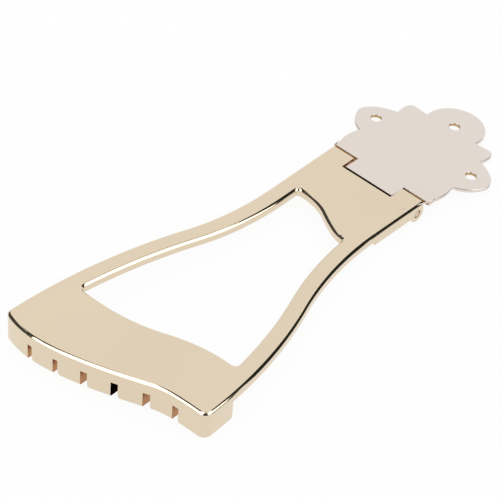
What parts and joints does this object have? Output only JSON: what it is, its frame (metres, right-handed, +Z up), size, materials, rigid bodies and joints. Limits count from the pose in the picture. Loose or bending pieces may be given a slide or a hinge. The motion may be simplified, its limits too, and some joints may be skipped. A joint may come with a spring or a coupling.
{
  "type": "trapeze guitar tailpiece",
  "caption": "Gold-plated trapeze tailpiece: open bell-shaped frame with slotted string bar, hinged on a pin to a flower-shaped screw plate.",
  "frame": {"origin": "middle of the footprint, on the table the tailpiece lies on", "axes": "+Y from the string bar to the hinge plate, +Z up from the table, +X towards the bass side"},
  "size_m": [0.078, 0.2034, 0.0125],
  "materials": {
    "gold_plated_casting": "mirror-polished champagne-gold plating on a zinc casting",
    "pale_gold_plate": "polished pale gold plating",
    "pin_metal": "plated plain rod"
  },
  "bodies": {
    "frame": {"tailpiece_frame": "gold_plated_casting", "hinge_pin": "pin_metal"},
    "plate": {"hinge_plate": "pale_gold_plate"}
  },
  "joints": [
    {"name": "plate_hinge", "type": "hinge", "parent": "frame", "child": "plate", "pos_m": [0.00044, 0.04212, 0.0033], "axis": [1, 0, 0], "range_deg": [-110, 9]}
  ]
}
